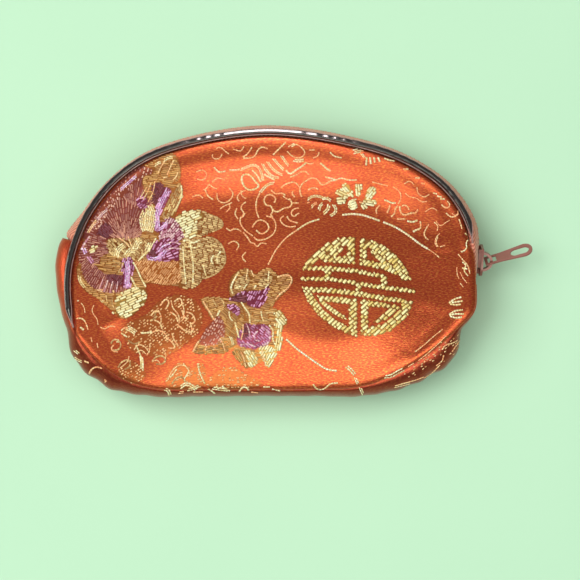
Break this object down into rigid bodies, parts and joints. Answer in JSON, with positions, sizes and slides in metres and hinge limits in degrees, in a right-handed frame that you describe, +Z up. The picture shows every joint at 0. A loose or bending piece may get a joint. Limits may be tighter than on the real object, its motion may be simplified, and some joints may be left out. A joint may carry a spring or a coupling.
{
  "type": "embroidered coin purse",
  "caption": "Half-moon silk brocade coin purse with a padded front, piped seams, a gusset and a zip round its arch with a swinging metal pull, lying on its back.",
  "frame": {"origin": "on the table under the middle of the purse, on the flat of the back panel", "axes": "+X to the slider's side, +Y towards the zipped arch, +Z up from the table through the front panel"},
  "size_m": [0.1305, 0.0742, 0.0235],
  "materials": {
    "brocade": "red-orange silk satin brocade with gold, pale gold and purple figures",
    "zip_tape": "woven salmon tape",
    "zip_coil": "salmon nylon coil",
    "piping_foil": "dark foil-coated piping, glossy",
    "zip_metal": "salmon paint on die-cast metal, worn bright at the edges"
  },
  "bodies": {
    "purse": {"front_panel": "brocade", "back_panel": "brocade", "gusset_strip": "brocade", "zip_tape_front": "zip_tape", "zip_tape_back": "zip_tape", "zip_coil": "zip_coil", "piping_front": "piping_foil", "piping_back": "piping_foil", "zip_slider": "zip_metal"},
    "pull": {"pull_tab": "zip_metal"}
  },
  "joints": [
    {"name": "pull_swing", "type": "hinge", "parent": "purse", "child": "pull", "pos_m": [0.05974, -0.00022, 0.00833], "axis": [-0.0383, 0.3128, -0.9491], "range_deg": [-55, 100]}
  ]
}
